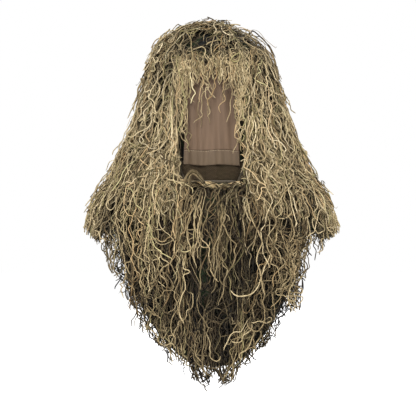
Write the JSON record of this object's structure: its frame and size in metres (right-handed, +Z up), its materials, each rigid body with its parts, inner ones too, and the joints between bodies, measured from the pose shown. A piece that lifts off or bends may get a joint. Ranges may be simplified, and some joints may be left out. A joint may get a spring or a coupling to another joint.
{
  "type": "ghillie hood",
  "caption": "Netting hood with shoulder mantle, chest bib and back cape, covered in hanging tan yarn, with a sheer lifting face veil over an oval face opening.",
  "frame": {"origin": "inside the top of the crown, where the hood bears on the wearer's head", "axes": "+Z up, the wearer faces -Y, +X to the wearer's left"},
  "size_m": [0.419, 0.3258, 0.5934],
  "materials": {
    "yarn": "matte",
    "net": "matte",
    "binding": "matte",
    "veil": "sheer",
    "tape": "matte"
  },
  "bodies": {
    "hood": {"chin_roll": "yarn", "yarn_crown_top": "yarn", "yarn_crown_front": "yarn", "yarn_crown_left": "yarn", "yarn_crown_right": "yarn", "yarn_crown_back": "yarn", "yarn_temple_left": "yarn", "yarn_temple_right": "yarn", "yarn_back_of_head_left": "yarn", "yarn_back_of_head_right": "yarn", "yarn_cheek_left": "yarn", "yarn_cheek_right": "yarn", "yarn_nape_left": "yarn", "yarn_nape_right": "yarn", "yarn_brow": "yarn", "yarn_yoke_front": "yarn", "yarn_yoke_back": "yarn", "yarn_shoulder_left": "yarn", "yarn_shoulder_right": "yarn", "crown_cap": "net", "brow_panel": "net", "hood_side_left": "net", "hood_side_right": "net", "chin_net": "net", "yoke_front": "net", "yoke_back": "net", "shoulder_panel_left": "net", "shoulder_panel_right": "net", "face_binding_left": "binding", "face_binding_right": "binding", "brow_binding": "binding", "chin_binding": "binding", "shoulder_hem_tape_left": "binding", "shoulder_hem_tape_right": "binding", "nape_seam_tape": "binding", "sweatband": "tape", "veil_hook_tape": "tape", "veil_loop_tape": "tape"},
    "veil": {"face_veil": "veil", "veil_hem": "veil"},
    "brow_strands": {"brow_fringe": "yarn"},
    "bib": {"bib_panel": "net", "bib_hem_tape": "binding", "yarn_bib_upper_right": "yarn", "yarn_bib_upper_centre": "yarn", "yarn_bib_upper_left": "yarn", "yarn_bib_lower_right": "yarn", "yarn_bib_lower_centre": "yarn", "yarn_bib_lower_left": "yarn", "yarn_bib_hem": "yarn"},
    "cape": {"cape_panel": "net", "cape_hem_tape": "binding", "yarn_cape_upper_right": "yarn", "yarn_cape_upper_centre": "yarn", "yarn_cape_upper_left": "yarn", "yarn_cape_lower_right": "yarn", "yarn_cape_lower_centre": "yarn", "yarn_cape_lower_left": "yarn", "yarn_cape_hem": "yarn"}
  },
  "joints": [
    {"name": "veil_lift", "type": "hinge", "parent": "hood", "child": "veil", "pos_m": [0, -0.101, -0.066], "axis": [-1, 0, 0], "range_deg": [0, 90]},
    {"name": "brow_strands_lift", "type": "hinge", "parent": "hood", "child": "brow_strands", "pos_m": [0, -0.101, -0.066], "axis": [-1, 0, 0], "range_deg": [0, 90]},
    {"name": "bib_lift", "type": "hinge", "parent": "hood", "child": "bib", "pos_m": [0, -0.127, -0.323], "axis": [-1, 0, 0], "range_deg": [0, 50]},
    {"name": "cape_lift", "type": "hinge", "parent": "hood", "child": "cape", "pos_m": [0, 0.123, -0.323], "axis": [1, 0, 0], "range_deg": [0, 50]}
  ],
  "couplings": [
    {"joint": "brow_strands_lift", "follows": "veil_lift", "ratio": 1}
  ]
}
